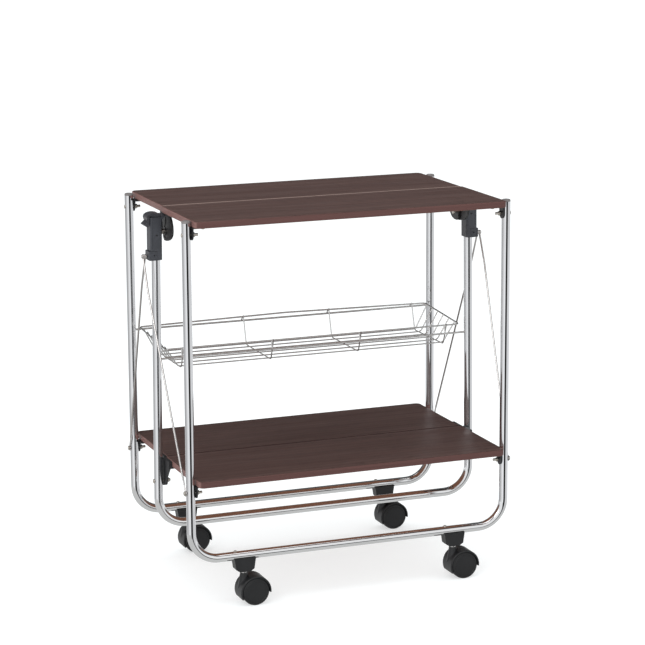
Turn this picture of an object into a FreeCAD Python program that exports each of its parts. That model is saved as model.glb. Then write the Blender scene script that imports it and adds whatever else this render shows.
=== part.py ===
import FreeCAD, Part
import math
import os

from FreeCAD import Vector as V

os.makedirs("parts", exist_ok=True)

# Folding two-shelf serving trolley with a wire basket, millimetres.
# X runs along the shelves, Y from front to back, Z up; Z = 0 is the floor and
# the origin lies on the floor under the middle of the trolley.

# ---- driving dimensions -------------------------------------------------
TUBE_R = 8.0            # chrome tube, 16 mm outside
TUBE_IN = 6.8           # 1.2 mm wall
BEND_R = 50.0           # centre-line bend of the U frames

OUT_X = 302.0           # posts of the front and back frame
MID_XB = 309.0          # posts of the middle frame, wider at its bottom bar
MID_XT = 304.0          # than at their upper ends
HALF_D = 168.5          # front and back frame planes
BAR_Z = 90.5            # bottom bar of the front and back frame
MBAR_Z = 111.5          # bottom bar of the middle frame
POST_TOP = 692.5
MPOST_TOP = 658.0

TOP_Z = 697.0           # upper faces of the two shelves
LOW_Z = 239.0
BOARD_T = 12.0
BOARD_Y = 194.5         # outer edge of a half shelf
BOARD_GAP = 0.6         # half the gap at the split line
FRONT_END = 293.0       # half lengths of the front and back half shelves
BACK_END = 290.5
BOARD_CORNER = 10.0
BOARD_EDGE = 1.9        # rounding of a board's long edges

DROP = 20.5             # a middle pivot lies this much under the outer ones
TOP_PZ = 671.5          # outer pivots
LOW_PZ = 214.5
BASKET_PZ = 440.0
APEX_Z = 608.0          # where the stay rods meet the slider
FOLD_DEG = 75.0

PIN_R = 2.5             # pivot bolts
FIT = 0.08              # radial clearance of a turning fit
ROD_R = 1.75

W_PIV = 1.75            # basket: pivot rails, rim and thin wires
W_RIM = 1.5
W_THIN = 1.2

WHEEL_R = 25.0
WHEEL_W = 15.0
TRAIL = 17.0
CASTOR_X = 203.0
CASTOR_OFF = -2.5       # the front pair sits this much off the middle


# ---- helpers ------------------------------------------------------------
def box(x0, x1, y0, y1, z0, z1):
    x0, x1 = sorted((x0, x1))
    y0, y1 = sorted((y0, y1))
    z0, z1 = sorted((z0, z1))
    return Part.makeBox(x1 - x0, y1 - y0, z1 - z0, V(x0, y0, z0))


def xcyl(x0, x1, y, z, r):
    x0, x1 = sorted((x0, x1))
    return Part.makeCylinder(r, x1 - x0, V(x0, y, z), V(1, 0, 0))


def ycyl(y0, y1, x, z, r):
    y0, y1 = sorted((y0, y1))
    return Part.makeCylinder(r, y1 - y0, V(x, y0, z), V(0, 1, 0))


def zcyl(z0, z1, x, y, r):
    z0, z1 = sorted((z0, z1))
    return Part.makeCylinder(r, z1 - z0, V(x, y, z0), V(0, 0, 1))


def mx(shape):
    """The same piece on the other end of the trolley."""
    return shape.mirror(V(0, 0, 0), V(1, 0, 0))


def my(shape):
    return shape.mirror(V(0, 0, 0), V(0, 1, 0))


def moved(shape, x=0.0, y=0.0, z=0.0):
    s = shape.copy()
    s.translate(V(x, y, z))
    return s


def save(name, *solids):
    """One file per piece; identical pieces share one file as separate solids."""
    clean = []
    for s in solids:
        for one in s.Solids:
            if one.Volume < 0:
                one.reverse()
            clean.append(one)
    shape = clean[0] if len(clean) == 1 else Part.makeCompound(clean)
    shape.exportStep("parts/%s.step" % name)
    bad = [i for i, s in enumerate(clean) if not s.isValid()]
    bb = shape.BoundBox
    print("%-28s solids %2d vol %9.1f  x %.1f..%.1f y %.1f..%.1f z %.1f..%.1f %s" % (
        name, len(clean), sum(s.Volume for s in clean), bb.XMin, bb.XMax,
        bb.YMin, bb.YMax, bb.ZMin, bb.ZMax, "INVALID %s" % bad if bad else ""))
    return shape


def route(points, radii):
    """Straight runs joined by tangent arcs through the points."""
    pts = [V(*p) for p in points]
    if not isinstance(radii, (list, tuple)):
        radii = [radii] * (len(pts) - 2)
    edges = []
    last = pts[0]
    for i in range(1, len(pts) - 1):
        a, b, c = pts[i - 1], pts[i], pts[i + 1]
        d1 = (a - b).normalize()
        d2 = (c - b).normalize()
        half = d1.getAngle(d2) / 2.0
        r = radii[i - 1]
        t = r / math.tan(half)
        p1 = b + d1 * t
        p2 = b + d2 * t
        mid_dir = (d1 + d2).normalize()
        centre = b + mid_dir * (r / math.sin(half))
        pm = centre - mid_dir * r
        if (p1 - last).Length > 1e-6:
            edges.append(Part.LineSegment(last, p1).toShape())
        edges.append(Part.Arc(p1, pm, p2).toShape())
        last = p2
    edges.append(Part.LineSegment(last, pts[-1]).toShape())
    return Part.Wire(edges)


def pipe(points, radii, r):
    path = route(points, radii) if len(points) > 2 else Part.Wire(
        [Part.LineSegment(V(*points[0]), V(*points[1])).toShape()])
    d = (V(*points[1]) - V(*points[0])).normalize()
    prof = Part.Wire([Part.makeCircle(r, V(*points[0]), d)])
    s = path.makePipeShell([prof], True, False)
    s = Part.Solid(s) if s.ShapeType == "Shell" else s
    if s.ShapeType == "Compound":
        s = s.Solids[0]
    if s.Volume < 0:
        s.reverse()
    return s


def plate_yz(points, x0, x1):
    """A flat plate, drawn in the Y-Z plane, between two X planes."""
    x0, x1 = sorted((x0, x1))
    wire = Part.makePolygon([V(x0, y, z) for y, z in points] + [V(x0, *points[0])])
    return Part.Face(wire).extrude(V(x1 - x0, 0, 0))


def plate_xz(points, y0, y1):
    y0, y1 = sorted((y0, y1))
    wire = Part.makePolygon([V(x, y0, z) for x, z in points] + [V(points[0][0], y0, points[0][1])])
    return Part.Face(wire).extrude(V(0, y1 - y0, 0))


def edges_along(shape, axis, test=None):
    out = []
    for e in shape.Edges:
        if not isinstance(e.Curve, (Part.Line, Part.LineSegment)):
            continue
        d = (e.Vertexes[-1].Point - e.Vertexes[0].Point)
        if d.Length < 1e-6:
            continue
        d.normalize()
        if abs(abs(d.dot(axis)) - 1) < 1e-6:
            m = e.CenterOfMass
            if test is None or test(m):
                out.append(e)
    return out


def bolt(u_head, u_tip, y, z, head_r=3.9, head_t=2.0):
    """Round-headed pivot bolt along X on the +X end; its head is outboard."""
    s = xcyl(u_tip, u_head, y, z, PIN_R)
    h = xcyl(u_head, u_head + head_t, y, z, head_r)
    h = h.makeFillet(0.6 * head_t, [e for e in h.Edges if isinstance(e.Curve, Part.Circle)
                                    and e.CenterOfMass.x > u_head + head_t - 0.01])
    key = xcyl(u_head + 0.45 * head_t, u_head + head_t + 1, y, z, 1.5)
    return s.fuse(h).removeSplitter().cut(key)


def nut(u0, u1, y, z, r=4.4):
    pts = [(y + r * math.cos(math.radians(60 * i + 30)), z + r * math.sin(math.radians(60 * i + 30)))
           for i in range(6)]
    return plate_yz(pts, u0, u1).cut(xcyl(u0 - 1, u1 + 1, y, z, PIN_R))


# ---- fold geometry ------------------------------------------------------
LINK = math.hypot(HALF_D, DROP)
LINK_A = math.degrees(math.atan2(DROP, HALF_D))
ROD_L = math.hypot(HALF_D, APEX_Z - LOW_PZ)
ROD_A0 = math.degrees(math.atan2(HALF_D, APEX_Z - LOW_PZ))
_half = LINK * math.cos(math.radians(FOLD_DEG - LINK_A))
_rise = LINK * math.sin(math.radians(FOLD_DEG - LINK_A)) + DROP
ROD_A1 = math.degrees(math.asin(_half / ROD_L))
SLIDE_MM = _rise - (ROD_L * math.cos(math.radians(ROD_A1)) - (APEX_Z - LOW_PZ))
print("link %.3f at %.3f deg; folded half depth %.2f, middle rises %.2f" % (LINK, LINK_A, _half, _rise))
print("rod %.3f, leans %.3f then %.3f deg, turns %.3f deg; slider travels %.3f" % (
    ROD_L, ROD_A0, ROD_A1, ROD_A0 - ROD_A1, SLIDE_MM))


def mid_x(z):
    """Where the axis of a middle post lies at a height."""
    return MID_XB + (MID_XT - MID_XB) * (z - MBAR_Z) / (MPOST_TOP - MBAR_Z)


MID_LEAN = math.degrees(math.atan2(MID_XB - MID_XT, MPOST_TOP - MBAR_Z))
DRAW_X = 308.0          # housing, lever and slider are drawn about an upright post here


def on_post(shape):
    """A piece drawn about an upright post, laid on the leaning middle post."""
    s = shape.copy()
    s.rotate(V(DRAW_X, 0, APEX_Z), V(0, 1, 0), -MID_LEAN)
    s.translate(V(mid_x(APEX_Z) - DRAW_X, 0, 0))
    return s


def castor_x(side, y):
    """Where a castor's stem stands along its bar."""
    return side * CASTOR_X + (CASTOR_OFF if y < 0 else 0.0)


# ---- U frames -----------------------------------------------------------
def u_frame(x, y, bar_z, top_z, x_top=None):
    x_top = x if x_top is None else x_top
    pts = [(-x_top, y, top_z), (-x, y, bar_z), (x, y, bar_z), (x_top, y, top_z)]
    outer = pipe(pts, BEND_R, TUBE_R)
    inner = pipe(pts, BEND_R, TUBE_IN)
    return outer.cut(inner)


def outer_frame(y):
    """Front or back frame with its bolt, rail and socket holes."""
    f = u_frame(OUT_X, y, BAR_Z, POST_TOP)
    for s in (-1, 1):
        for z in (TOP_PZ, LOW_PZ):
            f = f.cut(xcyl(s * (OUT_X - 12), s * (OUT_X + 12), y, z, PIN_R))
        f = f.cut(zcyl(BAR_Z - 12, BAR_Z, castor_x(s, y), y, 5.0))
        f = f.cut(zcyl(BAR_Z - 12, BAR_Z + 12, castor_x(s, y) - 15.5, y, 1.6))
    return f


back_tube = outer_frame(HALF_D)
for s in (-1, 1):
    back_tube = back_tube.cut(xcyl(s * (OUT_X - 12), s * OUT_X, HALF_D, BASKET_PZ, W_PIV + FIT))
save("back_frame_tube", back_tube)
front_tube = outer_frame(-HALF_D)
save("front_frame_tube", front_tube)

HS_X, HS_Z = DRAW_X + 1.6, 646.5        # screw of each housing, as drawn
mid_tube = u_frame(MID_XB, 0, MBAR_Z, MPOST_TOP, MID_XT)
for s in (-1, 1):
    mx_t, mx_l, mx_b = mid_x(TOP_PZ - DROP), mid_x(LOW_PZ - DROP), mid_x(BASKET_PZ - DROP)
    mid_tube = mid_tube.cut(xcyl(s * (mx_t - 12), s * (mx_t + 12), 0, TOP_PZ - DROP, PIN_R))
    mid_tube = mid_tube.cut(xcyl(s * (mx_l - 12), s * (mx_l + 12), 0, LOW_PZ - DROP, PIN_R))
    mid_tube = mid_tube.cut(xcyl(s * (mx_b - 12), s * mx_b, 0, BASKET_PZ - DROP, W_PIV + FIT))
    hole = on_post(ycyl(-12, 0, HS_X, HS_Z, 1.2))
    mid_tube = mid_tube.cut(hole if s > 0 else mx(hole))
save("middle_frame_tube", mid_tube)


def post_cap(x, y):
    head = zcyl(POST_TOP, POST_TOP + 4.0, x, y, TUBE_R)
    head = head.makeFillet(2.6, [e for e in head.Edges if isinstance(e.Curve, Part.Circle)
                                 and e.CenterOfMass.z > POST_TOP + 3.9])
    plug = zcyl(POST_TOP - 10, POST_TOP, x, y, TUBE_IN)
    return head.fuse(plug).removeSplitter()


save("back_post_caps", post_cap(-OUT_X, HALF_D), post_cap(OUT_X, HALF_D))
save("front_post_caps", post_cap(-OUT_X, -HALF_D), post_cap(OUT_X, -HALF_D))


# ---- pivot bolts and nuts ----------------------------------------------
EAR0, EAR1 = 291.4, 293.6          # bracket ears beside the outer posts
EYE_L, EYE_T = 2.0, 3.0            # thickness of the stay rods' lower and upper eyes


def socket_screw(x, y):
    """Screw down through the bar into the castor socket."""
    shank = zcyl(BAR_Z - 16, BAR_Z + TUBE_R - 0.2, x, y, 1.6)
    head = zcyl(BAR_Z + TUBE_R - 0.2, BAR_Z + TUBE_R + 1.4, x, y, 3.2)
    head = head.makeFillet(1.0, [e for e in head.Edges if isinstance(e.Curve, Part.Circle)
                                 and e.CenterOfMass.z > BAR_Z + TUBE_R + 1.3])
    return shank.fuse(head).removeSplitter()


def outer_fasteners(y):
    out = []
    for s in (1, -1):
        for z, head, r, t in ((TOP_PZ, OUT_X + TUBE_R - 0.5, 3.6, 1.2), (LOW_PZ, OUT_X + TUBE_R + 0.8 + EYE_L, 3.9, 1.6)):
            b = bolt(head, 281.0, y, z, r, t)
            n = nut(287.0, 291.1, y, z)
            out += [b, n] if s > 0 else [mx(b), mx(n)]
        sc = socket_screw(castor_x(s, y) - 15.5, y)
        out.append(sc)
    return out


def seated_screws(solids, tube):
    """Bolt and screw heads cut to the round tube that they seat on."""
    out = []
    for b in solids:
        c = b.cut(tube)
        out.append(max(c.Solids, key=lambda k: k.Volume) if c.Solids else b)
    return out


back_fast = seated_screws(outer_fasteners(HALF_D), back_tube)
front_fast = seated_screws(outer_fasteners(-HALF_D), front_tube)
save("back_frame_fasteners", *back_fast)
save("front_frame_fasteners", *front_fast)

TOP_HEAD = 276.2                   # the upper middle pins are headed on the inside
mid_solid = pipe([(mid_x(300.0), 0, 300.0), (mid_x(100.0), 0, 100.0)], 0, TUBE_R).cut(
    xcyl(MID_XB - 14, MID_XB + 14, 0, LOW_PZ - DROP, PIN_R))


def middle_fasteners():
    out = []
    for s in (1, -1):
        low = seated_screws([bolt(mid_x(LOW_PZ - DROP) + TUBE_R, 286.0, 0, LOW_PZ - DROP)], mid_solid)[0]
        n = nut(288.4, 292.6, 0, LOW_PZ - DROP)
        z = TOP_PZ - DROP
        pin = xcyl(TOP_HEAD, mid_x(z) + TUBE_R - 0.4, 0, z, PIN_R)
        head = xcyl(TOP_HEAD - 3.2, TOP_HEAD, 0, z, 5.0)
        head = head.makeFillet(1.4, [e for e in head.Edges if isinstance(e.Curve, Part.Circle)
                                     and e.CenterOfMass.x < TOP_HEAD - 3.1])
        pin = pin.fuse(head).removeSplitter()
        sleeve = xcyl(287.9, 295.3, 0, z, 4.4).cut(xcyl(287, 298, 0, z, PIN_R))
        grp = [low, n, pin, sleeve]
        out += grp if s > 0 else [mx(g) for g in grp]
    return out


save("middle_frame_fasteners", *middle_fasteners())


# ---- half shelves -------------------------------------------------------
def half_shelf(end, top, back):
    y0, y1 = (BOARD_GAP, BOARD_Y) if back else (-BOARD_Y, -BOARD_GAP)
    b = box(-end, end, y0, y1, top - BOARD_T, top)
    outer_y = y1 if back else y0
    corners = edges_along(b, V(0, 0, 1), lambda m: abs(m.y - outer_y) < 1)
    b = b.makeFillet(BOARD_CORNER, corners)
    inner = edges_along(b, V(0, 0, 1), lambda m: abs(m.y - outer_y) > 100)
    b = b.makeFillet(2.0, inner)
    rim = [e for e in b.Edges if abs(e.CenterOfMass.z - top) < 1e-6 or abs(e.CenterOfMass.z - top + BOARD_T) < 1e-6]
    rim = [e for e in rim if abs(e.BoundBox.ZMax - e.BoundBox.ZMin) < 1e-6]
    return b.makeFillet(BOARD_EDGE, rim)


def screw_up(x, y, z_face, up=9.0):
    """Pan-head screw under a board: head below z_face, shank up into the wood."""
    head = zcyl(z_face - 1.9, z_face, x, y, 3.1)
    head = head.makeFillet(1.2, [e for e in head.Edges if isinstance(e.Curve, Part.Circle)
                                 and e.CenterOfMass.z < z_face - 1.8])
    return head.fuse(zcyl(z_face, z_face + up, x, y, 1.5)).removeSplitter()


def outer_bracket(top, pz):
    """Corner bracket of a back half shelf on the +X end: flange and ear."""
    zb = top - BOARD_T
    flange = box(266.0, EAR1, HALF_D - 17, HALF_D + 10, zb - 2.4, zb)
    ear = plate_yz([(HALF_D - 8, zb), (HALF_D + 10, zb)] +
                   [(HALF_D + 2.5 + 7.5 * math.cos(math.radians(a)), pz + 9.2 * math.sin(math.radians(a)))
                    for a in range(0, -181, -12)], EAR0, EAR1)
    b = flange.fuse([ear]).removeSplitter()
    b = b.cut(xcyl(EAR0 - 1, EAR1 + 1, HALF_D, pz, PIN_R + FIT))
    spots = [(273.0, HALF_D - 11.5), (273.0, HALF_D + 4.5)]
    for x, y in spots:
        b = b.cut(zcyl(zb - 4, zb, x, y, 1.5))
    vert = edges_along(b, V(0, 0, 1), lambda m: m.x < 267)
    b = b.makeFillet(3.0, vert)
    return b, [(x, y, zb - 2.4) for x, y in spots]


def inner_plate_low(pz, end, cheek0, cheek1):
    """Hinge cheek of a back half shelf on the +X end, lower shelf: a cheek over
    the board's end, tapering to the boss at the middle bolt, and a flange."""
    zb = LOW_Z - BOARD_T
    r = 9.0
    arc = [(r * math.cos(math.radians(a)), pz + r * math.sin(math.radians(a))) for a in range(180, 331, 15)]
    cheek = plate_yz([(1.0, zb - 7)] + [(-r, pz + 6)] + arc + [(37.0, zb - 3.0), (37.0, LOW_Z - 1.5), (1.0, LOW_Z - 1.5)],
                     cheek0, cheek1)
    pad = box(end, cheek0, 1.0, 37.0, zb - 3.0, LOW_Z - 1.5)
    flange = box(262.0, cheek0, 3.0, 37.0, zb - 3.0, zb)
    b = cheek.fuse([pad, flange]).removeSplitter()
    b = b.cut(xcyl(cheek0 - 1, cheek1 + 1, 0, pz, PIN_R + FIT))
    spots = [(269.5, 10.0), (269.5, 30.0)]
    for x, y in spots:
        b = b.cut(zcyl(zb - 4, zb, x, y, 1.5))
    return b, [(x, y, zb - 3.0) for x, y in spots]


LOBE_BACK = ((38.0, 3.0), (37.0, 12.0), (34.0, 22.0), (30.5, 32.0), (26.0, 40.5), (19.0, 47.0), (9.0, 50.0))
LOBE_FRONT = ((32.0, 3.0), (38.5, 11.0), (42.5, 19.5), (43.5, 28.0), (41.5, 35.0), (34.0, 42.0), (23.0, 47.0),
              (10.0, 50.0))


def inner_plate_top(pz, x0, x1, outline):
    """Hinge plate of the back half of the upper shelf on the +X end: a flange
    under the board and a large rounded lobe down to the middle pin."""
    zb = TOP_Z - BOARD_T
    pts = [(y, zb - d) for y, d in outline + ((-3.0, 50.5), (-9.5, 45.0), (-10.5, 34.0), (2.0, 15.0), (3.0, 3.0))]
    lobe = plate_yz(pts, x0, x1)
    lobe = lobe.makeFillet(4.0, edges_along(lobe, V(1, 0, 0), lambda m: m.z < zb - 20 and m.y > -3 or m.z < zb - 40))
    flange = box(x0 - 24.0, x1, 3.0, 42.0, zb - 3.0, zb)
    b = lobe.fuse([flange]).removeSplitter()
    # a shallow field inside a raised rim, on the face that looks outward
    mid = (15.0, zb - 26.0)
    field = plate_yz([(mid[0] + (y - mid[0]) * 0.80, mid[1] + (z - mid[1]) * 0.80) for y, z in pts], x1 - 0.9, x1 + 1)
    field = field.makeFillet(3.0, edges_along(field, V(1, 0, 0), lambda m: m.z < zb - 20 and m.y > -3))
    boss = xcyl(x1 - 2, x1 + 2, 0, pz, 7.5)
    b = b.cut(field.cut(boss))
    b = b.cut(xcyl(x0 - 1, x1 + 1, 0, pz, PIN_R + FIT))
    spots = [(x0 - 14.0, 11.0), (x0 - 14.0, 34.0)]
    for x, y in spots:
        b = b.cut(zcyl(zb - 4, zb, x, y, 1.5))
    return b, [(x, y, zb - 3.0) for x, y in spots]


def shelf(name, top, pz, back, upper):
    end = BACK_END if back else FRONT_END
    board = half_shelf(end, top, back)
    ob, spots1 = outer_bracket(top, pz)
    mz = pz - DROP
    if upper:
        # the two plates sit side by side on one pin
        ip, spots2 = inner_plate_top(mz, 280.0, 283.6, LOBE_BACK) if back else inner_plate_top(mz, 284.0, 287.6, LOBE_FRONT)
    else:
        ip, spots2 = (inner_plate_low(mz, end, 293.0, 296.0) if back
                      else inner_plate_low(mz, end, 296.3, 299.4))
    brackets, plates, screws = [], [], []
    for s in (1, -1):
        for piece, dest in ((ob, brackets), (ip, plates)):
            p = piece if back else my(piece)
            dest.append(p if s > 0 else mx(p))
        for x, y, z in spots1 + spots2:
            yy = y if back else -y
            board = board.cut(zcyl(z, z + 9.0, s * x, yy, 1.5))
            screws.append(screw_up(s * x, yy, z))
    save(name + "_board", board)
    save(name + "_outer_brackets", *brackets)
    save(name + "_hinge_plates", *plates)
    save(name + "_screws", *screws)


shelf("back_top", TOP_Z, TOP_PZ, True, True)
shelf("front_top", TOP_Z, TOP_PZ, False, True)
shelf("back_low", LOW_Z, LOW_PZ, True, False)
shelf("front_low", LOW_Z, LOW_PZ, False, False)


# ---- wire basket --------------------------------------------------------
BK_FZ = BASKET_PZ - DROP           # front pivot rail
BK_END = 289.0
BK_UP_B, BK_UP_F = 445.5, 435.0    # upper rim at the back and at the front
BK_BOW = 4.5                       # the back rim is bowed up by this much in the middle
BK_FLOOR = 397.0
rail_b = xcyl(-OUT_X, OUT_X, HALF_D, BASKET_PZ, W_PIV)
rail_f = xcyl(-mid_x(BK_FZ), mid_x(BK_FZ), 0, BK_FZ, W_PIV)
YB = HALF_D - 6.0                  # the upper rim lies just inside the pivot rails
YF = 3.0


def back_rim_z(x):
    return BK_UP_B + BK_BOW * (1.0 - abs(x) / BK_END)


def rim_loop():
    pts = [(0, YB, BK_UP_B + BK_BOW), (-BK_END, YB, BK_UP_B), (-BK_END, YF, BK_UP_F),
           (BK_END, YF, BK_UP_F), (BK_END, YB, BK_UP_B), (0.0, YB, BK_UP_B + BK_BOW)]
    a = pipe([pts[0], pts[1], pts[2], (0, YF, BK_UP_F)], 8.0, W_RIM)
    b = pipe([(0, YF, BK_UP_F), pts[3], pts[4], pts[5]], 8.0, W_RIM)
    return a.fuse(b)


rim = rim_loop()
# short uprights carry the rim on the pivot rails
links = []
for x in (-259.0, -86.5, 86.5, 259.0):
    links.append(pipe([(x, HALF_D, BASKET_PZ), (x, YB, back_rim_z(x))], 0, W_THIN))
for x in (-259.0, -86.5, 86.5, 259.0):
    links.append(pipe([(x, 0.0, BK_FZ), (x, YF, BK_UP_F)], 0, W_THIN))
basket_rim = rail_b.fuse([rail_f, rim] + links).removeSplitter()
save("basket_rim", basket_rim)

# cross wires run under the floor wires, from rail to rail
def cross_wire(x):
    x += 2 * W_THIN + 0.4
    pts = [(x, YF - W_RIM - W_THIN, BK_UP_F + 2.0), (x, 15.0, BK_FLOOR), (x, 150.0, BK_FLOOR),
           (x, YB + W_RIM + W_THIN, back_rim_z(x) + 2.0)]
    return pipe(pts, 9.0, W_THIN)


def strike(solid, *others):
    """Leave room where one wire is welded to another."""
    c = solid
    for o in others:
        c = c.cut(o)
    parts = sorted(c.Solids, key=lambda k: -k.Volume)
    return parts[0]


cross_group = [strike(cross_wire(x), basket_rim) for x in (-259.0, -86.5, 86.5, 259.0)]
save("basket_cross_wires", *cross_group)


def floor_wire(y):
    """Long floor wire, bent up at both ends to the sloping end of the rim."""
    t = (y - YF) / (YB - YF)
    rim_z = BK_UP_F + t * (BK_UP_B - BK_UP_F)
    z = BK_FLOOR + 2 * W_THIN
    end = BK_END - W_RIM - W_THIN
    pts = [(-end, y, rim_z + 1.5), (-262.0, y, z), (262.0, y, z), (end, y, rim_z + 1.5)]
    return pipe(pts, 9.0, W_THIN)


floor_ys = (17.0, 43.0, 69.0, 95.0, 121.0, 147.0)
floor = [strike(floor_wire(y), basket_rim, *cross_group) for y in floor_ys]
save("basket_floor_wires", *floor)


# ---- latch housings on the middle posts (+X end drawn, then mirrored) ---
H_IN, H_OUT = 299.5, 321.4
H_Y = 12.0
LEG_Z, H_Z0, H_Z1 = 602.0, 618.3, 679.0
LEG_X = 308.8                      # the housing's leg reaches down on the inner side of this
PIVOT_U, PIVOT_Z = 314.0, 671.5


def housing():
    h = box(H_IN, H_OUT, -H_Y, H_Y, LEG_Z, H_Z1)
    h = h.makeFillet(2.4, edges_along(h, V(0, 0, 1)))
    # lip under the shelf's end, round about the shelf's pivot so that the shelf clears it
    hood = plate_xz([(293.6, 680.8), (299.4, 675.2), (301.6, 675.2), (301.6, 684.4), (296.0, 684.4), (293.6, 683.6)],
                    -13.4, 13.4)
    hood = hood.common(xcyl(290.0, 303.0, 0, TOP_PZ - DROP, 33.3))
    h = h.fuse([hood]).removeSplitter()
    h = h.cut(box(LEG_X, H_OUT + 1, -H_Y - 1, H_Y + 1, LEG_Z - 1, H_Z0))
    h = h.cut(zcyl(LEG_Z - 1, MPOST_TOP + 0.05, DRAW_X, 0, TUBE_R))
    # room for the slider's ring beside the leg
    h = h.cut(zcyl(LEG_Z - 1, H_Z0, DRAW_X, 0, 10.8).common(box(302.4, 330, -14, 14, LEG_Z - 2, H_Z0 + 1)))
    # slot for the latch tongue and the room in which the lever turns
    h = h.cut(box(316.0, 319.4, -6.0, 6.0, H_Z0 - 1, H_Z1 + 1))
    h = h.cut(box(306.0, 319.4, -9.4, 9.4, MPOST_TOP + 0.6, H_Z1 + 1))
    h = h.cut(ycyl(-H_Y - 1, 0, HS_X, HS_Z, 1.2))
    h = h.cut(ycyl(-H_Y - 1, -H_Y + 2.6, HS_X, HS_Z, 1.9))
    h = h.cut(ycyl(-H_Y + 1.0, H_Y - 1.0, PIVOT_U, PIVOT_Z, 1.5))
    # shallow flutes down the long faces, as a moulded part has
    for y in (-H_Y, H_Y):
        for x in (302.9, 317.2):
            h = h.cut(zcyl(H_Z0 + 5, H_Z1 - 8, x, y, 0.55))
    return h


house = on_post(housing()).cut(xcyl(290.0, mid_x(TOP_PZ - DROP), 0, TOP_PZ - DROP, PIN_R))
save("left_latch_housing", mx(house))
save("right_latch_housing", house)


def housing_screw():
    y = -H_Y + 2.6
    head = ycyl(y - 1.5, y, HS_X, HS_Z, 1.8)
    shank = ycyl(y, -TUBE_IN + 1.5, HS_X, HS_Z, 1.2)
    drive = ycyl(y - 2, y - 0.9, HS_X, HS_Z, 0.9)
    return on_post(head.fuse(shank).removeSplitter().cut(drive))


def lever_pin():
    return on_post(ycyl(-H_Y + 1.1, H_Y - 1.1, PIVOT_U, PIVOT_Z, 1.5))


save("housing_screws", housing_screw(), mx(housing_screw()))
save("lever_pins", lever_pin(), mx(lever_pin()))


def lever():
    """Release lever: thumb cap over the housing, spur outside it, pawl inside."""
    cap = plate_xz([(302.0, 680.4), (302.0, 684.0), (305.0, 685.6), (309.5, 686.5), (314.5, 686.7), (319.5, 686.1),
                    (323.6, 684.4), (326.6, 681.8), (327.8, 678.8), (327.3, 675.2), (325.7, 672.0), (331.9, 666.2),
                    (331.5, 665.0), (326.0, 661.2), (324.8, 662.0), (323.9, 666.0), (323.0, 671.0), (322.6, 675.0),
                    (322.5, 681.4), (316.0, 680.6), (310.0, 680.1)], -12.2, 12.2)
    cap = cap.makeFillet(1.2, edges_along(cap, V(0, 1, 0), lambda m: m.z > 681 and m.x > 304))
    lip = plate_xz([(302.0, 680.4), (310.0, 680.1), (316.0, 680.6), (322.5, 681.4), (326.4, 681.6), (326.0, 682.6),
                    (322.0, 682.6), (316.0, 681.9), (302.0, 681.7)], -13.2, 13.2)
    hub = ycyl(-8.8, 8.8, PIVOT_U, PIVOT_Z, 3.8)
    neck = box(310.8, 317.2, -8.8, 8.8, PIVOT_Z, 681.0)
    arm = plate_xz([(311.4, PIVOT_Z), (316.0, PIVOT_Z), (315.9, 664.4), (318.4, 663.6), (318.4, 661.6),
                    (315.4, 660.6), (311.9, 660.6)], -3.6, 3.6)
    s = cap.fuse([lip, hub, neck, arm]).removeSplitter()
    s = s.cut(ycyl(-15, 15, PIVOT_U, PIVOT_Z, 1.5 + FIT))
    return on_post(s)


lev = lever()
save("left_release_lever", mx(lev))
save("right_release_lever", lev)

# ---- sliders beside the housings' legs -----------------------------------
S_Z0, S_Z1 = LEG_Z - 0.8, 617.8
S_IN, S_OUT = 309.1, 324.4
S_Y = 12.3


def slider():
    b = box(S_IN, S_OUT, -S_Y, S_Y, S_Z0, S_Z1)
    b = b.makeFillet(2.4, edges_along(b, V(0, 0, 1), lambda m: m.x > S_OUT - 0.1))
    b = b.makeChamfer(1.4, [e for e in b.Edges if abs(e.CenterOfMass.z - S_Z0) < 1e-6
                            and e.CenterOfMass.x > S_OUT - 0.01])
    # its ring holds more than half way round the post
    ring = zcyl(S_Z0, S_Z1, DRAW_X, 0, 10.4).common(box(303.0, 330, -14, 14, S_Z0 - 1, S_Z1 + 1))
    b = b.fuse([ring]).removeSplitter()
    b = b.cut(zcyl(S_Z0 - 1, S_Z1 + 1, DRAW_X, 0, TUBE_R + 0.35))
    b = b.cut(box(316.9, 319.1, -5.6, 5.6, S_Z0 + 4, S_Z1 + 1))
    # a blind hole and a raised frame in the front face, and a shallow seat for the rod pin
    b = b.cut(ycyl(-S_Y - 1, -S_Y + 2.4, DRAW_X + 6.6, 610.4, 1.5))
    field = box(S_IN + 1.6, S_OUT - 3.4, -S_Y - 1, -S_Y + 0.5, S_Z0 + 1.8, S_Z1 - 1.8)
    b = b.cut(field.cut(ycyl(-S_Y - 2, -S_Y + 1, DRAW_X + 6.6, 610.4, 2.9)))
    b = b.cut(xcyl(S_OUT - 1.0, S_OUT + 1, 0, APEX_Z, 2.2))
    return b


def tongue():
    t = box(316.9, 319.1, -5.6, 5.6, S_Z0 + 4, S_Z1)
    t = t.fuse(box(316.9, 319.1, -5.2, 5.2, S_Z1, 667.0)).removeSplitter()
    t = t.makeFillet(1.5, edges_along(t, V(1, 0, 0), lambda m: m.z > 660))
    return on_post(t.cut(box(316, 320, -4.2, 4.2, 660.8, 664.6)))


sl = on_post(slider())
save("left_slider", mx(sl))
save("right_slider", sl)
save("left_latch_tongue", mx(tongue()))
save("right_latch_tongue", tongue())

# ---- stay rods ----------------------------------------------------------
LOW_EYE_U = OUT_X + TUBE_R + 0.4 + EYE_L / 2      # centre plane of the lower eyes


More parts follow.
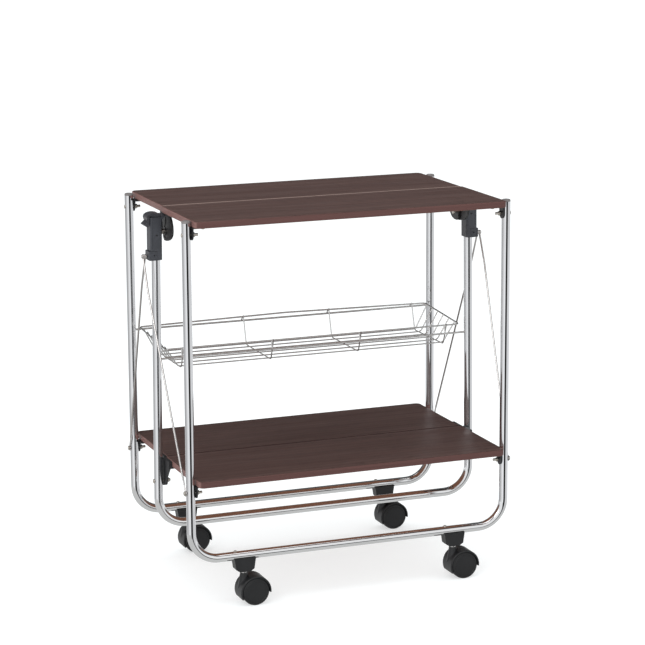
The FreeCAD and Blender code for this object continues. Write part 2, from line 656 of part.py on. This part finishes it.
def stay_rod(top_u, rivet_head):
    """A rod drawn upright from its lower eye at the origin, then leaned."""
    eye1 = xcyl(LOW_EYE_U - EYE_L / 2, LOW_EYE_U + EYE_L / 2, 0, 0, 5.0)
    eye2 = xcyl(top_u - EYE_T / 2, top_u + EYE_T / 2, 0, ROD_L, 4.2)
    pts = [(LOW_EYE_U, 0, 3.2), (LOW_EYE_U, 0, 15.0), (top_u, 0, ROD_L - 62.0), (top_u, 0, ROD_L - 3.0)]
    rod = pipe(pts, 40.0, ROD_R)
    # the rod is pressed flat where it meets each eye
    flat = 24.0
    keep1 = box(LOW_EYE_U - EYE_L / 2, LOW_EYE_U + EYE_L / 2, -9, 9, -9, flat)
    low_end = rod.common(keep1)
    keep2 = box(top_u - EYE_T / 2, top_u + EYE_T / 2, -9, 9, ROD_L - 12.0, ROD_L + 9)
    top_end = rod.common(box(290, 345, -9, 9, ROD_L - 12.0, ROD_L + 9)).common(keep2)
    body = rod.common(box(290, 345, -9, 9, flat, ROD_L - 12.0))
    s = body.fuse([low_end, top_end, eye1, eye2]).removeSplitter()
    s = s.cut(xcyl(LOW_EYE_U - 3, LOW_EYE_U + 3, 0, 0, PIN_R + FIT))
    s = s.cut(xcyl(top_u - 3, top_u + 3, 0, ROD_L, 2.0))
    rivet = xcyl(top_u - EYE_T / 2, top_u + EYE_T / 2, 0, ROD_L, 2.0)
    if rivet_head:
        h = xcyl(top_u + EYE_T / 2 + 0.02, top_u + EYE_T / 2 + 1.5, 0, ROD_L, 3.4)
        h = h.makeFillet(0.9, [e for e in h.Edges if isinstance(e.Curve, Part.Circle)
                               and e.CenterOfMass.x > top_u + 2.9])
        rivet = xcyl(top_u - EYE_T / 2, top_u + EYE_T / 2 + 0.5, 0, ROD_L, 2.0).fuse(h).removeSplitter()
    return s, rivet


def leaned(shape, y0, side):
    s = shape.copy()
    s.rotate(V(0, 0, 0), V(1, 0, 0), ROD_A0 * side)
    s.translate(V(0, y0, LOW_PZ))
    return s


# back rods next to the slider, which comes outward a little on its way down
ROD_U_BACK = S_OUT - DRAW_X + mid_x(APEX_Z - SLIDE_MM) + 0.3 + ROD_R
ROD_U_FRONT = ROD_U_BACK + 2 * ROD_R + 0.4  # front rods outside them
for end in ("right", "left"):
    for who, u, y0, side, head in (("back", ROD_U_BACK, HALF_D, 1, False), ("front", ROD_U_FRONT, -HALF_D, -1, True)):
        rod, rivet = stay_rod(u, head)
        rod, rivet = leaned(rod, y0, side), leaned(rivet, y0, side)
        if end == "left":
            rod, rivet = mx(rod), mx(rivet)
        save("%s_%s_stay_rod" % (end, who), rod, rivet)


# ---- castors ------------------------------------------------------------
SOCK_Z = 61.8


def castor_socket(x, y):
    pts = [(x - 20.0, BAR_Z - 4.0), (x + 20.0, BAR_Z - 4.0), (x + 17.0, 66.5), (x + 9.8, SOCK_Z), (x - 9.8, SOCK_Z),
           (x - 17.0, 66.5)]
    s = plate_xz(pts, y - 9.6, y + 9.6)
    s = s.makeFillet(2.4, edges_along(s, V(0, 1, 0), lambda m: m.z < 78))
    s = s.cut(Part.makeCylinder(TUBE_R, 80, V(x - 40, y, BAR_Z), V(1, 0, 0)))
    s = s.cut(zcyl(SOCK_Z - 1, 80.0, x, y, 4.0 + FIT))
    # the socket's spigot goes up into the hole in the bar
    s = s.cut(zcyl(BAR_Z - 17, BAR_Z, x - 15.5, y, 1.6))
    return s


save("back_castor_sockets", *[castor_socket(castor_x(s, HALF_D), HALF_D) for s in (-1, 1)])
save("front_castor_sockets", *[castor_socket(castor_x(s, -HALF_D), -HALF_D) for s in (-1, 1)])

HOOD_OUT, HOOD_IN = 28.6, 25.7
HOOD_HW = 19.3
WEB_HW = 3.4


def ring_sector(r0, r1, a0, a1, y0, y1):
    """Part of a ring about the wheel axle, angles from +X towards +Z."""
    c0 = (r1 * math.cos(math.radians(a0)), r1 * math.sin(math.radians(a0)))
    outer = Part.Arc(V(c0[0], y0, c0[1]),
                     V(r1 * math.cos(math.radians((a0 + a1) / 2)), y0, r1 * math.sin(math.radians((a0 + a1) / 2))),
                     V(r1 * math.cos(math.radians(a1)), y0, r1 * math.sin(math.radians(a1)))).toShape()
    inner = Part.Arc(V(r0 * math.cos(math.radians(a1)), y0, r0 * math.sin(math.radians(a1))),
                     V(r0 * math.cos(math.radians((a0 + a1) / 2)), y0, r0 * math.sin(math.radians((a0 + a1) / 2))),
                     V(r0 * math.cos(math.radians(a0)), y0, r0 * math.sin(math.radians(a0)))).toShape()
    l1 = Part.LineSegment(V(r1 * math.cos(math.radians(a1)), y0, r1 * math.sin(math.radians(a1))),
                          V(r0 * math.cos(math.radians(a1)), y0, r0 * math.sin(math.radians(a1)))).toShape()
    l2 = Part.LineSegment(V(r0 * math.cos(math.radians(a0)), y0, r0 * math.sin(math.radians(a0))),
                          V(r1 * math.cos(math.radians(a0)), y0, r1 * math.sin(math.radians(a0)))).toShape()
    f = Part.Face(Part.Wire([outer, l1, inner, l2]))
    return f.extrude(V(0, y1 - y0, 0))


def castor():
    """One castor with its stem axis at the origin and the wheel axle at +TRAIL."""
    hood = ring_sector(HOOD_IN, HOOD_OUT, -6, 206, -HOOD_HW, HOOD_HW)
    hood = hood.makeFillet(1.6, [e for e in hood.Edges if isinstance(e.Curve, Part.Circle)
                                 and abs(e.Curve.Radius - HOOD_OUT) < 1e-6])
    web = Part.makeCylinder(HOOD_IN + 0.5, 2 * WEB_HW, V(0, -WEB_HW, 0), V(0, 1, 0))
    web = web.cut(box(-40, 40, -10, 10, -40, -12.0))
    boss_h = 58.7 - WHEEL_R
    boss = Part.makeCone(11.6, 6.6, boss_h - 6.0, V(-TRAIL, 0, 6.0), V(0, 0, 1))
    boss = boss.cut(Part.makeCylinder(HOOD_IN, 4 * HOOD_HW, V(0, -2 * HOOD_HW, 0), V(0, 1, 0)))
    hood = hood.fuse([web, boss]).removeSplitter()
    hood = hood.cut(Part.makeCylinder(3.0, 40, V(0, -20, 0), V(0, 1, 0)))
    hood = hood.cut(Part.makeCylinder(4.0, 60, V(-TRAIL, 0, 14.0), V(0, 0, 1)))
    hood = moved(hood, TRAIL, 0, WHEEL_R)
    axle = Part.makeCylinder(3.0, 30.0, V(TRAIL, -15.0, WHEEL_R), V(0, 1, 0))
    stem = zcyl(39.0, 77.5, 0, 0, 4.0)
    ring = zcyl(58.7, 61.5, 0, 0, 6.0)
    stem = stem.fuse(ring).removeSplitter()
    # wheel profile turned about the axle
    hw0, hw1 = WEB_HW + 0.6, WEB_HW + 0.6 + WHEEL_W
    prof = [(3.0 + FIT, hw0), (23.0, hw0), (WHEEL_R, hw0 + 2.0), (WHEEL_R, hw1 - 3.2), (WHEEL_R - 0.9, hw1 - 1.3),
            (WHEEL_R - 2.8, hw1 - 0.4), (20.6, hw1 - 0.4), (20.0, hw1 - 0.9), (19.2, hw1 - 0.4), (10.0, hw1 + 0.1), (0.0, hw1 + 0.2),
            (0.0, 15.2), (3.0 + FIT, 15.2)]
    wire = Part.makePolygon([V(r, y, 0) for r, y in prof] + [V(prof[0][0], prof[0][1], 0)])
    wheel = Part.Face(wire).revolve(V(0, 0, 0), V(0, 1, 0), 360)
    wheel = Part.Solid(wheel) if wheel.ShapeType == "Shell" else wheel
    w_back = moved(wheel, TRAIL, 0, WHEEL_R)
    w_front = moved(my(wheel), TRAIL, 0, WHEEL_R)
    return hood, stem, axle, w_front, w_back


hood, stem, axle, w_front, w_back = castor()
for name, s, y in (("front_left", -1, -HALF_D), ("front_right", 1, -HALF_D),
                   ("back_left", -1, HALF_D), ("back_right", 1, HALF_D)):
    x = castor_x(s, y)
    save(name + "_castor_hood", moved(hood, x, y))
    save(name + "_castor_stem_axle", moved(stem, x, y), moved(axle, x, y))
    save(name + "_front_wheel", moved(w_front, x, y))
    save(name + "_back_wheel", moved(w_back, x, y))

print("nodes:", len([f for f in os.listdir("parts") if f.endswith(".step")]))
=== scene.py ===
import math

import bpy
from mathutils import Matrix, Vector

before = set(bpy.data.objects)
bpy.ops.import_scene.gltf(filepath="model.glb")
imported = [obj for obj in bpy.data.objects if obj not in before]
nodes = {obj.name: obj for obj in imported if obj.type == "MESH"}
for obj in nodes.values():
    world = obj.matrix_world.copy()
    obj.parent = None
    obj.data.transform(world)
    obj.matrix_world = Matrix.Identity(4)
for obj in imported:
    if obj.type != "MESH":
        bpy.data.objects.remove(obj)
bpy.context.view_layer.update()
scene = bpy.context.scene
link = scene.collection.objects.link


# ---- node helpers --------------------------------------------------------
class Mat:
    """A small material builder: one principled shader and the nodes that feed it."""

    def __init__(self, name, **sockets):
        self.m = bpy.data.materials.new(name)
        self.m.use_nodes = True
        self.t = self.m.node_tree
        self.t.nodes.clear()
        self.out = self.t.nodes.new("ShaderNodeOutputMaterial")
        self.p = self.t.nodes.new("ShaderNodeBsdfPrincipled")
        self.t.links.new(self.p.outputs[0], self.out.inputs[0])
        for k, v in sockets.items():
            self.p.inputs[k.replace("_", " ")].default_value = v
        self.coord = self.t.nodes.new("ShaderNodeTexCoord")

    def node(self, kind, inputs=None, **attrs):
        n = self.t.nodes.new("ShaderNode" + kind)
        for k, v in attrs.items():
            setattr(n, k, v)
        for k, v in (inputs or {}).items():
            self.put(n.inputs[k], v)
        return n

    def put(self, socket, v):
        if isinstance(v, bpy.types.NodeSocket):
            self.t.links.new(v, socket)
        else:
            socket.default_value = v

    def stretched(self, scale, offset=(0, 0, 0), turn=(0, 0, 0)):
        n = self.node("Mapping", {"Vector": self.coord.outputs["Object"], "Scale": scale, "Location": offset, "Rotation": turn})
        return n.outputs[0]

    def noise(self, vec, scale, detail=3.0, rough=0.5, distort=0.0):
        n = self.node("TexNoise", {"Vector": vec, "Scale": scale, "Detail": detail, "Roughness": rough, "Distortion": distort})
        return n.outputs["Fac"]

    def wave(self, vec, scale, distort, detail=3.0, direction="X"):
        n = self.node("TexWave", {"Vector": vec, "Scale": scale, "Distortion": distort, "Detail": detail, "Detail Scale": 1.4}, bands_direction=direction)
        return n.outputs["Fac"]

    def ramp(self, fac, stops, mode="LINEAR"):
        n = self.node("ValToRGB", {"Fac": fac})
        n.color_ramp.interpolation = mode
        els = n.color_ramp.elements
        while len(els) < len(stops):
            els.new(0.5)
        for e, (pos, col) in zip(els, stops):
            e.position = pos
            e.color = tuple(col) + ((1.0,) if len(col) == 3 else ())
        return n.outputs["Color"]

    def span(self, value, a0, a1, b0, b1):
        n = self.node("MapRange", {"Value": value, "From Min": a0, "From Max": a1, "To Min": b0, "To Max": b1})
        return n.outputs["Result"]

    def math(self, op, a, b=None):
        n = self.node("Math", operation=op)
        self.put(n.inputs[0], a)
        if b is not None:
            self.put(n.inputs[1], b)
        return n.outputs[0]

    def mix(self, fac, a, b, mode="MIX"):
        n = self.node("Mix", data_type="RGBA", blend_type=mode)
        self.put(n.inputs[0], fac)
        self.put(n.inputs[6], a)
        self.put(n.inputs[7], b)
        return n.outputs[2]

    def bump(self, height, strength, distance, after=None):
        n = self.node("Bump", {"Height": height, "Strength": strength, "Distance": distance})
        if after is not None:
            self.put(n.inputs["Normal"], after)
        return n.outputs[0]

    def set(self, **links):
        for k, v in links.items():
            self.put(self.p.inputs[k.replace("_", " ")], v)


def lin(r, g, b):
    """A screen colour, 0 to 255, as the linear value that a shader takes."""
    def f(c):
        c /= 255.0
        return c / 12.92 if c <= 0.04045 else ((c + 0.055) / 1.055) ** 2.4
    return (f(r), f(g), f(b), 1.0)


# ---- materials -----------------------------------------------------------
def chrome(name, along, base=(0.86, 0.87, 0.885), low=0.02, high=0.07):
    """Polished plating: fine draw lines along the tube, faint smudges, slight waviness."""
    m = Mat(name, Metallic=1.0)
    fine = tuple(30.0 if a else 1400.0 for a in along)
    lines = m.noise(m.stretched(fine), 1.0, 4.0, 0.6)
    smudge = m.noise(m.stretched((14.0, 14.0, 9.0)), 1.0, 3.0, 0.55)
    wavy = m.noise(m.stretched((22.0, 22.0, 22.0)), 1.0, 1.0, 0.3)
    rough = m.math("ADD", m.span(smudge, 0.35, 0.75, low, high), m.span(lines, 0.3, 0.8, 0.0, 0.03))
    tint = m.ramp(smudge, [(0.30, base), (0.75, tuple(c * 0.93 for c in base))])
    m.set(Base_Color=tint, Roughness=rough)
    m.set(Normal=m.bump(wavy, 0.06, 0.0006, m.bump(lines, 0.03, 0.0002)))
    return m.m


def wood(name, seed, top, edge, end, split):
    """Dark veneer: long grain streaks with pores, cross-grain edge bands, paler ends."""
    m = Mat(name, IOR=1.48)
    m.p.inputs["Specular IOR Level"].default_value = 0.15
    broad = m.noise(m.stretched((1.3, 26.0, 26.0), (seed, seed * 2.1, 0)), 1.0, 5.0, 0.62, 0.6)
    streak = m.noise(m.stretched((5.0, 210.0, 210.0), (seed, 0, seed)), 1.0, 4.0, 0.6)
    pores = m.noise(m.stretched((30.0, 1300.0, 1300.0), (0, seed, 0)), 1.0, 2.0, 0.5)
    rings = m.wave(m.stretched((0.8, 9.0, 9.0), (seed * 0.7, seed, 0)), 2.2, 5.5, 3.0, "Y")
    figure = m.math("ADD", m.math("MULTIPLY", broad, 0.45), m.math("MULTIPLY", streak, 0.40))
    figure = m.math("ADD", figure, m.math("MULTIPLY", rings, 0.15))
    dark, mid, light = top
    col = m.ramp(figure, [(0.28, dark[:3]), (0.48, mid[:3]), (0.70, light[:3])])
    pore_mask = m.ramp(pores, [(0.30, (1, 1, 1)), (0.42, (0, 0, 0))])
    col = m.mix(pore_mask, col, tuple(c * 0.55 for c in dark[:3]) + (1.0,))
    # which way a face looks, in the board's own frame
    n = m.node("SeparateXYZ", {"Vector": m.coord.outputs["Normal"]})
    ax = m.math("ABSOLUTE", n.outputs["X"])
    ay = m.math("ABSOLUTE", n.outputs["Y"])
    on_end = m.span(ax, 0.62, 0.80, 0.0, 1.0)
    on_edge = m.span(ay, 0.62, 0.80, 0.0, 1.0)
    band = m.noise(m.stretched((3.0, 3.0, 420.0), (seed, 0, 0)), 1.0, 3.0, 0.6)
    edge_col = m.ramp(band, [(0.30, tuple(c * 0.82 for c in edge[:3])), (0.70, tuple(c * 1.12 for c in edge[:3]))])
    endn = m.noise(m.stretched((3.0, 60.0, 500.0), (seed, 1.0, 0)), 1.0, 3.0, 0.6)
    end_col = m.ramp(endn, [(0.30, tuple(c * 0.85 for c in end[:3])), (0.70, tuple(c * 1.10 for c in end[:3]))])
    # the underside is painted a plainer, lighter and redder brown: painted bounce light from the floor, which the
    # chrome bars reflect
    under = m.span(n.outputs["Z"], -0.8, -0.6, 1.0, 0.0)
    under_col = m.ramp(streak, [(0.30, lin(112, 76, 60)[:3]), (0.70, lin(132, 92, 72)[:3])])
    col = m.mix(under, col, under_col)
    col = m.mix(on_edge, col, edge_col)
    col = m.mix(on_end, col, end_col)
    # the rounding along the split: a painted highlight on the top boards, a painted shade line over the gap of the
    # low boards
    o = m.node("SeparateXYZ", {"Vector": m.coord.outputs["Object"]})
    near = m.span(m.math("ABSOLUTE", o.outputs["Y"]), 0.0012, 0.0021, 1.0, 0.0)
    col = m.mix(near, col, split)
    rough = m.span(m.noise(m.stretched((6.0, 40.0, 40.0)), 1.0, 3.0), 0.3, 0.7, 0.36, 0.48)
    m.set(Base_Color=col, Roughness=rough)
    m.set(Normal=m.bump(pore_mask, 0.10, -0.0001, m.bump(streak, 0.08, 0.0002)))
    return m.m


def plastic(name, base, rough=(0.38, 0.52), grain=1500.0, strength=0.12, sheen=None):
    """Moulded plastic: fine spark grain, cloudy gloss, dust-light high spots."""
    m = Mat(name, IOR=1.47)
    g = m.noise(m.stretched((grain,) * 3), 1.0, 2.0, 0.55)
    cloud = m.noise(m.stretched((28.0,) * 3), 1.0, 3.0, 0.55)
    worn = m.noise(m.stretched((160.0,) * 3), 1.0, 4.0, 0.65)
    col = m.ramp(cloud, [(0.30, tuple(c * 0.85 for c in base[:3])), (0.72, tuple(c * 1.18 for c in base[:3]))])
    col = m.mix(m.span(worn, 0.62, 0.80, 0.0, 0.35), col, tuple(min(1.0, c * 1.9 + 0.004) for c in base[:3]) + (1.0,))
    m.set(Base_Color=col, Roughness=m.span(cloud, 0.3, 0.7, rough[0], rough[1]))
    m.set(Normal=m.bump(g, strength, 0.00012))
    return m.m


def steel(name, base=(0.62, 0.61, 0.60), low=0.20, high=0.36):
    """Zinc-plated steel: turned rings and a blotchy dulling."""
    m = Mat(name, Metallic=1.0)
    turn = m.noise(m.stretched((900.0, 240.0, 240.0)), 1.0, 3.0, 0.6)
    blot = m.noise(m.stretched((120.0,) * 3), 1.0, 3.0, 0.6)
    col = m.ramp(blot, [(0.30, tuple(c * 0.86 for c in base)), (0.70, tuple(min(1.0, c * 1.10) for c in base))])
    m.set(Base_Color=col, Roughness=m.span(blot, 0.3, 0.7, low, high))
    m.set(Normal=m.bump(turn, 0.12, 0.0001))
    return m.m


TOP = (lin(68, 49, 45), lin(79, 59, 55), lin(91, 70, 65))
EDGE = lin(90, 63, 60)
END = lin(122, 91, 87)
# painted highlight for the split rounding of the top boards, painted shade for the split gap of the low boards
SPLIT_HIGHLIGHT, SPLIT_SHADE = lin(166, 148, 140), lin(38, 27, 26)
looks = {
    "back_frame_tube": chrome("chrome_back_frame", (0, 0, 1)),
    "front_frame_tube": chrome("chrome_front_frame", (0, 0, 1)),
    "middle_frame_tube": chrome("chrome_middle_frame", (0, 0, 1)),
    "basket": chrome("chrome_wire", (1, 0, 0), (0.68, 0.675, 0.67), 0.12, 0.24),
    "rod": chrome("chrome_rod", (0, 0, 1), (0.62, 0.60, 0.59), 0.10, 0.18),
    "bracket": plastic("black_bracket", lin(34, 34, 36), (0.36, 0.50)),
    "housing": plastic("charcoal_housing", lin(58, 60, 66), (0.38, 0.50), 1300.0, 0.14),
    "lever": plastic("charcoal_lever", lin(54, 55, 60), (0.30, 0.44), 1300.0, 0.10),
    "cap": plastic("grey_cap", lin(112, 108, 108), (0.34, 0.46)),
    "castor": plastic("castor_nylon", lin(27, 28, 30), (0.34, 0.48), 1200.0, 0.10),
    "wheel": plastic("wheel_nylon", lin(22, 23, 25), (0.38, 0.54), 1000.0, 0.10),
    "bolt": steel("bolt_steel", (0.64, 0.605, 0.55)),
    "screw": steel("housing_screw_steel", (0.10, 0.10, 0.105), 0.30, 0.45),
    "steel": steel("castor_steel", (0.66, 0.65, 0.64), 0.14, 0.28),
}


def dress(name, mat):
    o = nodes[name]
    if not o.data.materials:
        o.data.materials.append(mat)
    for i in range(len(o.data.materials)):
        o.data.materials[i] = mat


for n in nodes:
    if n.endswith("_frame_tube"):
        dress(n, looks[n])
    elif n.startswith("basket"):
        dress(n, looks["basket"])
    elif n.endswith("stay_rod"):
        dress(n, looks["rod"])
    elif n.endswith("_board"):
        seed = {"back_top_board": 1.7, "front_top_board": 4.2, "back_low_board": 7.9, "front_low_board": 11.3}[n]
        dress(n, wood("veneer_" + n[:-6], seed, TOP, EDGE, END, SPLIT_HIGHLIGHT if "top" in n else SPLIT_SHADE))
    elif n.endswith("outer_brackets") or n.endswith("hinge_plates"):
        dress(n, looks["bracket"])
    elif n.endswith("latch_housing") or n.endswith("slider"):
        dress(n, looks["housing"])
    elif n.endswith("release_lever"):
        dress(n, looks["lever"])
    elif n.endswith("post_caps"):
        dress(n, looks["cap"])
    elif n.endswith("castor_sockets") or n.endswith("castor_hood"):
        dress(n, looks["castor"])
    elif n.endswith("_wheel"):
        dress(n, looks["wheel"])
    elif n.endswith("stem_axle") or n.endswith("latch_tongue"):
        dress(n, looks["steel"])
    elif n.endswith("_fasteners"):
        dress(n, looks["bolt"])
    elif n == "housing_screws":
        dress(n, looks["screw"])
    else:
        dress(n, looks["bolt"])

# ---- smooth shading by angle on every CAD piece -----------------------------
for o in nodes.values():
    for p in o.data.polygons:
        p.use_smooth = True
    o.data.set_sharp_from_angle(angle=math.radians(32))

# ---- floor and light -------------------------------------------------------
def plane(name, size, z=0.0):
    me = bpy.data.meshes.new(name)
    s = size / 2
    me.from_pydata([(-s, -s, z), (s, -s, z), (s, s, z), (-s, s, z)], [], [(0, 1, 2, 3)])
    o = bpy.data.objects.new(name, me)
    link(o)
    return o


floor = plane("floor", 80.0)
fm = Mat("pale_floor", Roughness=0.9)
fm.p.inputs["Specular IOR Level"].default_value = 0.0
fm.p.inputs["Emission Color"].default_value = (1.0, 1.0, 1.0, 1.0)
fm.p.inputs["Emission Strength"].default_value = 0.59
fc = fm.noise(fm.stretched((3.0, 3.0, 3.0)), 1.0, 3.0)
fm.set(Base_Color=fm.ramp(fc, [(0.2, (0.455, 0.485, 0.495)), (0.8, (0.475, 0.505, 0.515))]))
floor.data.materials.append(fm.m)
floor.visible_glossy = False

AZ, EL, ROLL = math.radians(-21.23), math.radians(11.81), math.radians(-0.33)
right = Vector((math.cos(AZ), math.sin(AZ), 0.0))
back = Vector((math.sin(AZ) * math.cos(EL), -math.cos(AZ) * math.cos(EL), math.sin(EL)))
up = back.cross(right)
right, up = (right * math.cos(ROLL) + up * math.sin(ROLL)), (up * math.cos(ROLL) - right * math.sin(ROLL))
# the fitted axis lies a pixel or two off the middle of the picture: turned, not shifted
FOCAL, CX, CY = 2386.41, 323.83, 319.74
back = (back + right * ((CX - 322.5) / FOCAL) - up * ((CY - 322.5) / FOCAL)).normalized()
right = up.cross(back).normalized()
up = back.cross(right).normalized()

cam_data = bpy.data.cameras.new("camera")
cam_data.sensor_width = 36.0
cam_data.sensor_fit = "HORIZONTAL"
cam_data.lens = FOCAL / 645.0 * 36.0
cam_data.clip_start, cam_data.clip_end = 0.1, 200.0
cam = bpy.data.objects.new("camera", cam_data)
link(cam)
rot = Matrix((right, up, back)).transposed().to_4x4()
cam.matrix_world = Matrix.Translation((-1.53861, -3.99940, 1.36297)) @ rot
scene.camera = cam


def area(name, at, aim, size, power, colour=(1, 1, 1)):
    d = bpy.data.lights.new(name, "AREA")
    d.shape = "RECTANGLE"
    d.size, d.size_y = size
    d.energy = power
    d.color = colour
    o = bpy.data.objects.new(name, d)
    link(o)
    o.location = at
    o.rotation_mode = "QUATERNION"
    o.rotation_quaternion = (Vector(aim) - Vector(at)).to_track_quat("-Z", "Y")
    return o


area("top_soft", (-0.3, -0.4, 3.6), (0, 0, 0.3), (3.6, 3.0), 46.0)
area("key_left", (-2.6, -2.4, 2.6), (0, 0, 0.4), (1.8, 1.8), 34.0)

world = bpy.data.worlds.new("studio")
scene.world = world
world.use_nodes = True
wt = world.node_tree
wt.nodes.clear()


def wn(kind, **attrs):
    n = wt.nodes.new("ShaderNode" + kind)
    for k, v in attrs.items():
        setattr(n, k, v)
    return n


w_out, w_tc, w_sep = wn("OutputWorld"), wn("TexCoord"), wn("SeparateXYZ")
w_at = wn("Math", operation="ARCTAN2")
w_turn = wn("Math", operation="ADD")
w_wrap = wn("Math", operation="WRAP")
w_norm = wn("MapRange")
w_ramp = wn("ValToRGB")
w_bg, w_pale, w_mix, w_path = wn("Background"), wn("Background"), wn("MixShader"), wn("LightPath")
wt.links.new(w_tc.outputs["Generated"], w_sep.inputs[0])
wt.links.new(w_sep.outputs["Y"], w_at.inputs[0])
wt.links.new(w_sep.outputs["X"], w_at.inputs[1])
# 0 degrees is straight behind the camera; positive turns to its right
wt.links.new(w_at.outputs[0], w_turn.inputs[0])
w_turn.inputs[1].default_value = math.radians(111.3)
wt.links.new(w_turn.outputs[0], w_wrap.inputs[0])
w_wrap.inputs[1].default_value = math.pi
w_wrap.inputs[2].default_value = -math.pi
wt.links.new(w_wrap.outputs[0], w_norm.inputs["Value"])
w_norm.inputs["From Min"].default_value = -math.pi
w_norm.inputs["From Max"].default_value = math.pi
wt.links.new(w_norm.outputs["Result"], w_ramp.inputs["Fac"])


def deg(a):
    return (a + 180.0) / 360.0


stops = [(-180, 0.92), (-140, 0.75), (-118, 0.52), (-92, 0.42), (-70, 0.62), (-40, 0.85), (-8, 1.0), (1, 0.80),
         (5, 0.015), (43, 0.01), (48, 0.55), (78, 0.80), (110, 0.72), (150, 0.9), (180, 0.92)]
els = w_ramp.color_ramp.elements
while len(els) < len(stops):
    els.new(0.5)
for e, (a, v) in zip(els, stops):
    e.position = deg(a)
    e.color = (v, v, v * 1.01, 1.0)
# mirrors that look upward to the back see a dim ceiling, so the shelves stay dark
w_high = wn("MapRange")
wt.links.new(w_sep.outputs["Z"], w_high.inputs["Value"])
for k, v in (("From Min", -0.02), ("From Max", 0.12), ("To Min", 1.0), ("To Max", 0.11)):
    w_high.inputs[k].default_value = v
# and below the dark card the floor of the studio is bright all round
w_low = wn("MapRange")
wt.links.new(w_sep.outputs["Z"], w_low.inputs["Value"])
for k, v in (("From Min", -0.37), ("From Max", -0.32), ("To Min", 1.0), ("To Max", 0.0)):
    w_low.inputs[k].default_value = v
w_rise = wn("MapRange")
wt.links.new(w_sep.outputs["Z"], w_rise.inputs["Value"])
for k, v in (("From Min", -0.12), ("From Max", -0.07), ("To Min", 0.0), ("To Max", 1.0)):
    w_rise.inputs[k].default_value = v
w_off = wn("Math", operation="MAXIMUM")
wt.links.new(w_low.outputs["Result"], w_off.inputs[0])
wt.links.new(w_rise.outputs["Result"], w_off.inputs[1])
w_bright = wn("Mix", data_type="RGBA", blend_type="MIX")
wt.links.new(w_off.outputs[0], w_bright.inputs[0])
wt.links.new(w_ramp.outputs["Color"], w_bright.inputs[6])
# the studio floor is a little greyer than the soft boxes above the dark card
w_side = wn("Mix", data_type="RGBA", blend_type="MIX")
wt.links.new(w_rise.outputs["Result"], w_side.inputs[0])
w_side.inputs[6].default_value = (0.62, 0.62, 0.61, 1.0)
w_side.inputs[7].default_value = (0.92, 0.92, 0.92, 1.0)
wt.links.new(w_side.outputs[2], w_bright.inputs[7])
w_dim = wn("Mix", data_type="RGBA", blend_type="MULTIPLY")
w_dim.inputs[0].default_value = 1.0
# to the front the soft boxes reach high, with a brown dusk above them
w_dot = wn("VectorMath", operation="DOT_PRODUCT")
wt.links.new(w_tc.outputs["Generated"], w_dot.inputs[0])
w_dot.inputs[1].default_value = (-0.362, -0.932, 0.0)
w_fore = wn("MapRange")
wt.links.new(w_dot.outputs["Value"], w_fore.inputs["Value"])
for k, v in (("From Min", 0.05), ("From Max", 0.25), ("To Min", 0.0), ("To Max", 1.0)):
    w_fore.inputs[k].default_value = v
w_tall = wn("MapRange")
wt.links.new(w_sep.outputs["Z"], w_tall.inputs["Value"])
for k, v in (("From Min", 0.66), ("From Max", 0.76), ("To Min", 0.0), ("To Max", 1.0)):
    w_tall.inputs[k].default_value = v
w_dusk = wn("Mix", data_type="RGBA", blend_type="MIX")
wt.links.new(w_tall.outputs["Result"], w_dusk.inputs[0])
w_dusk.inputs[6].default_value = (1.0, 1.0, 1.0, 1.0)
w_dusk.inputs[7].default_value = (0.10, 0.062, 0.05, 1.0)
w_roof = wn("Mix", data_type="RGBA", blend_type="MIX")
wt.links.new(w_fore.outputs["Result"], w_roof.inputs[0])
wt.links.new(w_high.outputs["Result"], w_roof.inputs[6])
wt.links.new(w_dusk.outputs[2], w_roof.inputs[7])
wt.links.new(w_bright.outputs[2], w_dim.inputs[6])
wt.links.new(w_roof.outputs[2], w_dim.inputs[7])
wt.links.new(w_dim.outputs[2], w_bg.inputs["Color"])
w_bg.inputs["Strength"].default_value = 0.98
w_fill = wn("Background")
w_fill.inputs["Color"].default_value = (1.0, 0.995, 0.99, 1.0)
w_fill.inputs["Strength"].default_value = 1.05
w_pale.inputs["Color"].default_value = (1.0, 1.0, 1.0, 1.0)
w_pale.inputs["Strength"].default_value = 1.0
w_soft = wn("MixShader")
wt.links.new(w_path.outputs["Is Diffuse Ray"], w_soft.inputs[0])
wt.links.new(w_bg.outputs[0], w_soft.inputs[1])
wt.links.new(w_fill.outputs[0], w_soft.inputs[2])
wt.links.new(w_path.outputs["Is Camera Ray"], w_mix.inputs[0])
wt.links.new(w_soft.outputs[0], w_mix.inputs[1])
wt.links.new(w_pale.outputs[0], w_mix.inputs[2])
wt.links.new(w_mix.outputs[0], w_out.inputs[0])

scene.view_settings.view_transform = "Standard"
scene.view_settings.look = "None"
scene.view_settings.exposure = 0.0
scene.view_settings.gamma = 1.0
